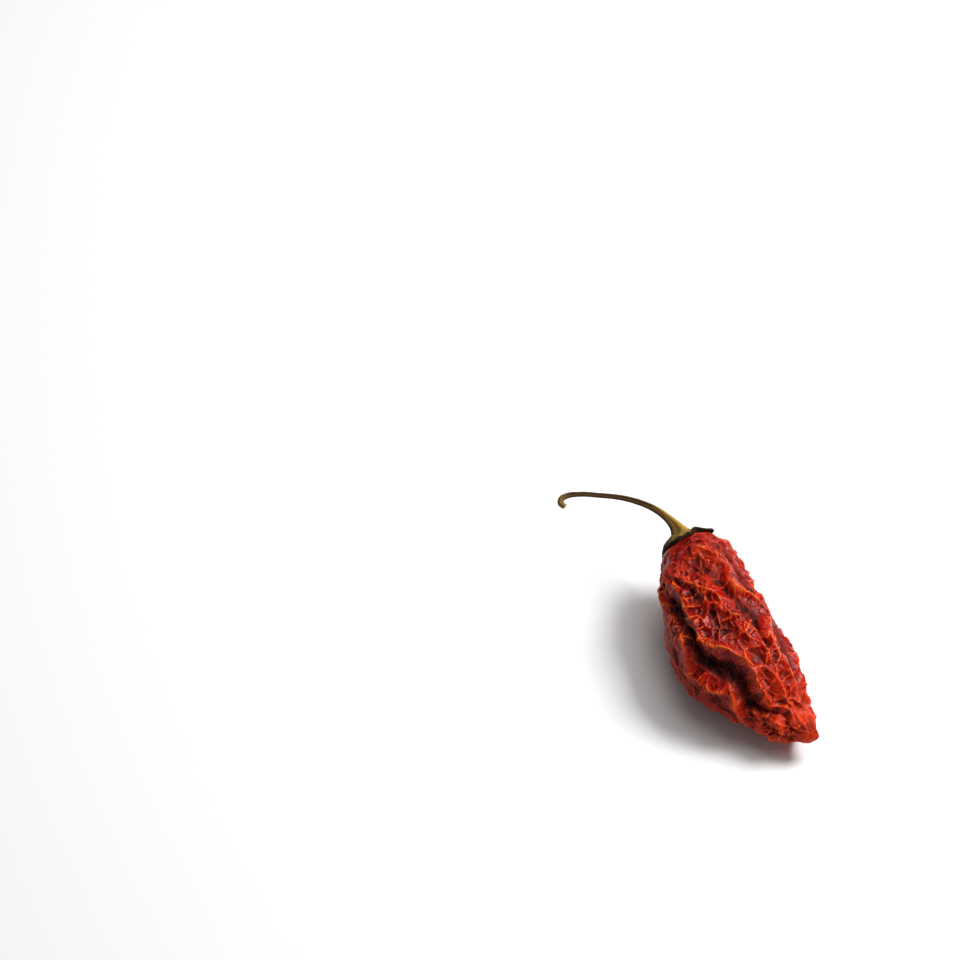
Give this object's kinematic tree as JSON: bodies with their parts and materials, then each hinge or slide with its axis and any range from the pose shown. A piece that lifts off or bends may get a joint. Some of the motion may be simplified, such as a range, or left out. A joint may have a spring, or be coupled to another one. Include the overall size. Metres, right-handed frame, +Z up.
{
  "type": "dried ghost pepper",
  "caption": "Whole dried ghost pepper with a deeply wrinkled pod, toothed calyx and hooked stem, lying on its belly as food or set dressing.",
  "frame": {"origin": "on the surface that the pepper lies on, under the middle of the box round the pod, calyx and stem", "axes": "+X from the calyx to the tip of the pod, +Z up, and the stem hooks round towards -Y"},
  "size_m": [0.0778, 0.0278, 0.0242],
  "materials": {
    "pod_skin": "wrinkled dried skin with a soft gloss, deep red in the hollows and orange on the crests",
    "calyx_skin": "matt dried plant tissue, olive gold on the collar and near black at the rim",
    "stem_bark": "matt dried stalk, olive brown with gold ribs"
  },
  "bodies": {
    "root": {"pod": "pod_skin", "calyx": "calyx_skin", "stem": "stem_bark"}
  },
  "joints": []
}
